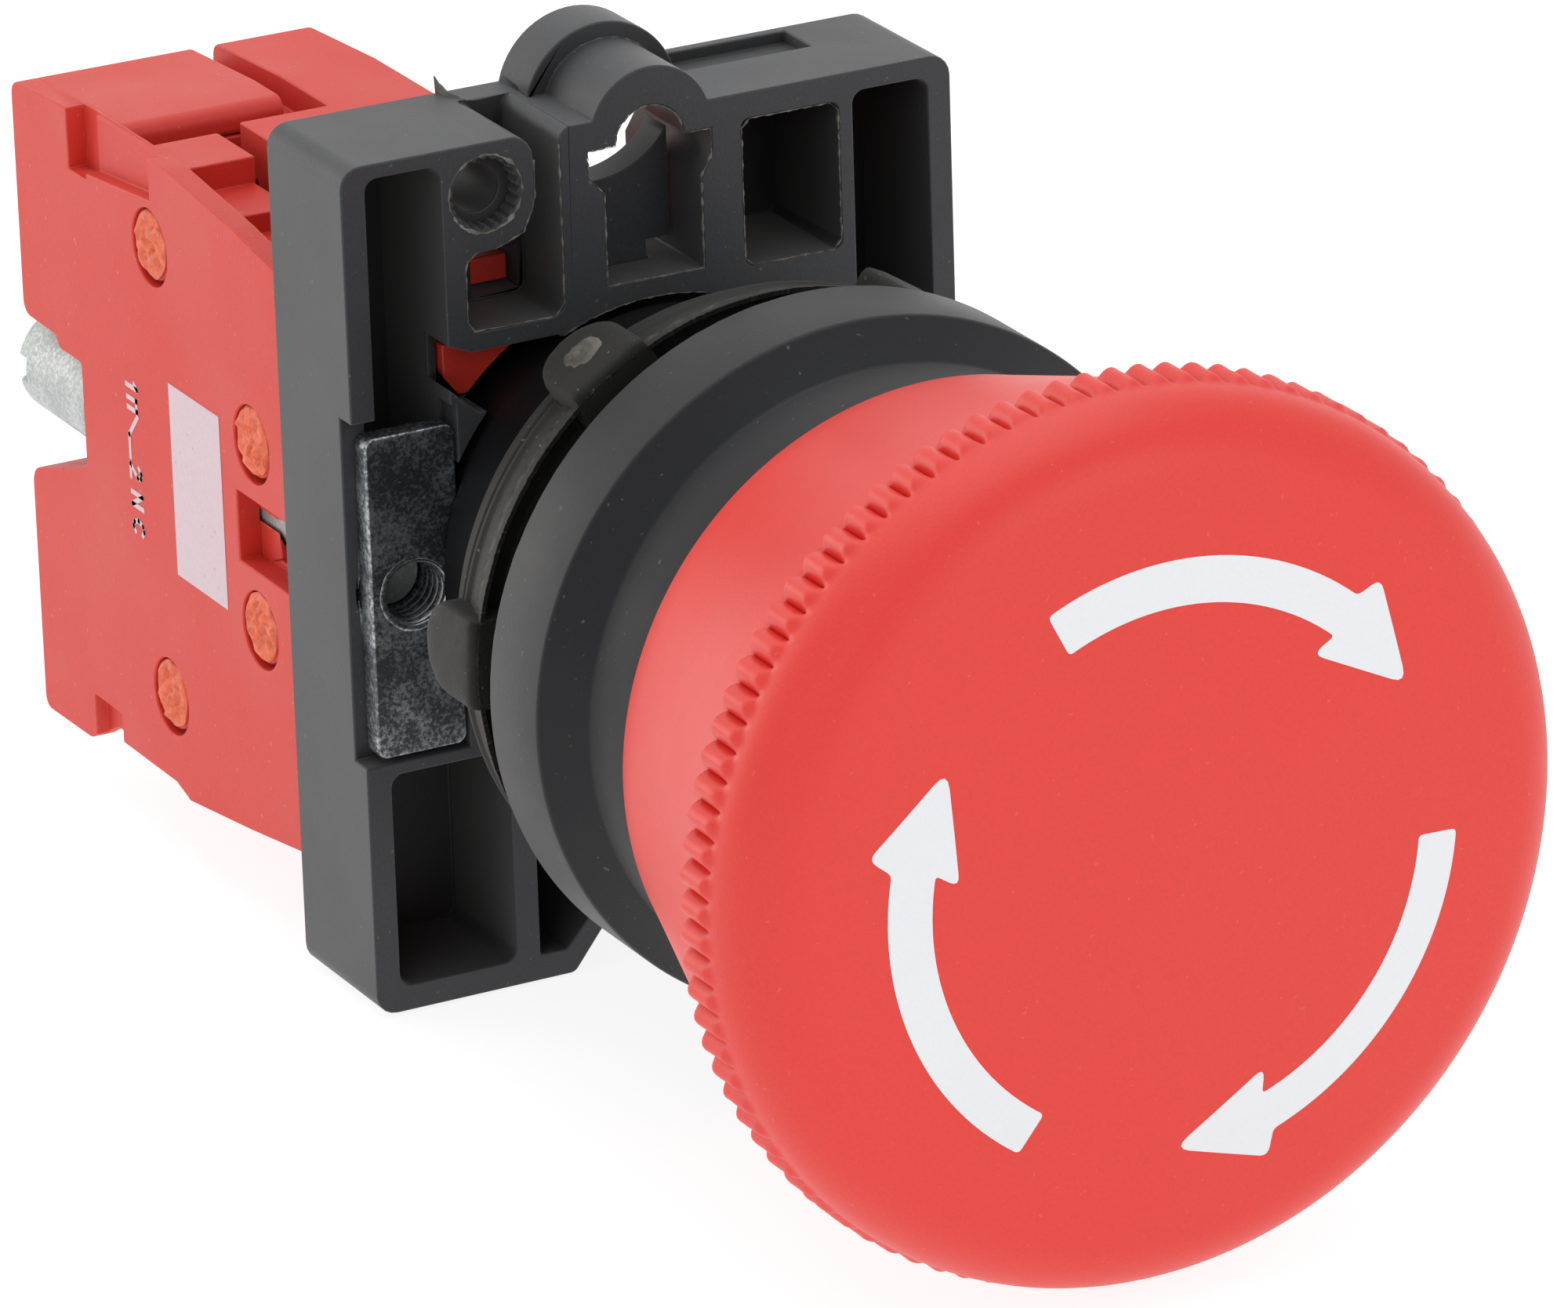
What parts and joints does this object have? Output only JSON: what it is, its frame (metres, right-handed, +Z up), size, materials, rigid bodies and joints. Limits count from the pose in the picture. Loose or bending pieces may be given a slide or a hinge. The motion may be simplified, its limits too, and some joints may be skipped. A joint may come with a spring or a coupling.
{
  "type": "emergency stop button",
  "caption": "Red mushroom-head emergency stop button, push to latch and twist to release, with a black bezel, gasket, panel mounting collar and a screw-fixed contact block.",
  "frame": {"origin": "centre of the panel hole, on the rear face of the gasket, where it meets the panel's front face", "axes": "+Y along the button's axis towards the back of the panel, so the red face looks towards -Y; +Z up, over the collar's arch"},
  "size_m": [0.04, 0.0847, 0.0428],
  "materials": {
    "cap_red": "satin moulded red plastic",
    "arrow_white": "satin white second-shot plastic",
    "block_red": "satin moulded red plastic",
    "bezel_black": "satin black plastic, fine moulding grain",
    "collar_black": "satin dark grey glass-filled plastic",
    "inner_black": "plain black plastic",
    "gasket_rubber": "dark grey moulded rubber",
    "natural_plastic": "unfilled off-white plastic",
    "zinc_plate": "zinc-plated steel, blotchy passivation",
    "screw_steel": "zinc-plated steel",
    "spring_steel": "drawn spring wire",
    "contact_copper": "copper alloy with silver tips"
  },
  "bodies": {
    "head": {"bezel_ring": "bezel_black", "barrel_body": "inner_black", "gasket": "gasket_rubber", "stem_seal": "gasket_rubber", "return_spring": "spring_steel"},
    "button": {"stem": "natural_plastic", "pusher_disc": "inner_black", "retaining_clip": "spring_steel", "pin_spring": "spring_steel"},
    "pin_left": {"latch_pin_left": "screw_steel"},
    "pin_right": {"latch_pin_right": "screw_steel"},
    "cap": {"mushroom_cap": "cap_red", "arrow_inlays": "arrow_white", "cap_carrier": "inner_black", "torsion_spring": "spring_steel"},
    "collar": {"mounting_collar": "collar_black", "collar_latch": "collar_black", "nut_plate_left": "zinc_plate", "nut_plate_right": "zinc_plate", "block_case": "block_red", "block_cover": "block_red", "terminal_lid_upper": "block_red", "terminal_lid_lower": "block_red", "contact_upper": "contact_copper", "contact_lower": "contact_copper", "wire_clamps": "zinc_plate"},
    "contact_plunger": {"plunger": "natural_plastic", "contact_bridge": "contact_copper", "contact_spring": "spring_steel", "plunger_spring": "spring_steel"},
    "fixing_screw": {"block_screw": "screw_steel"},
    "wire_screw_upper": {"terminal_screw_upper": "screw_steel"},
    "wire_screw_lower": {"terminal_screw_lower": "screw_steel"}
  },
  "joints": [
    {"name": "press", "type": "slide", "parent": "head", "child": "button", "axis": [0, 1, 0], "range_m": [0, 0.0045], "deforming": ["return_spring"]},
    {"name": "twist", "type": "hinge", "parent": "button", "child": "cap", "pos_m": [0, -0.0355, 0], "axis": [0, 1, 0], "range_deg": [0, 40], "stiffness_Nm_per_rad": 0.05, "deforming": ["torsion_spring"]},
    {"name": "pin_left_slide", "type": "slide", "parent": "button", "child": "pin_left", "axis": [1, 0, 0], "range_m": [0, 0.00072], "deforming": ["pin_spring"]},
    {"name": "pin_right_slide", "type": "slide", "parent": "button", "child": "pin_right", "axis": [-1, 0, 0], "range_m": [0, 0.00072], "deforming": ["pin_spring"]},
    {"name": "collar_release", "type": "slide", "parent": "head", "child": "collar", "axis": [0, 1, 0], "range_m": [0, 0.03], "deforming": ["collar_latch"]},
    {"name": "contact", "type": "slide", "parent": "collar", "child": "contact_plunger", "axis": [0, 1, 0], "range_m": [0, 0.0045], "deforming": ["plunger_spring"]},
    {"name": "block_screw_turn", "type": "hinge", "parent": "collar", "child": "fixing_screw", "pos_m": [-0.0123, 0.0361, -0.0002], "axis": [0, 1, 0], "continuous": true},
    {"name": "upper_terminal_turn", "type": "hinge", "parent": "collar", "child": "wire_screw_upper", "pos_m": [-0.0097, 0.0331, 0.0091], "axis": [0, 1, 0], "continuous": true},
    {"name": "lower_terminal_turn", "type": "hinge", "parent": "collar", "child": "wire_screw_lower", "pos_m": [-0.0097, 0.0331, -0.0104], "axis": [0, 1, 0], "continuous": true}
  ],
  "couplings": [
    {"joint": "pin_left_slide", "follows": "press", "ratio": 0.16},
    {"joint": "pin_right_slide", "follows": "press", "ratio": 0.16},
    {"joint": "contact", "follows": "press", "ratio": 1}
  ]
}
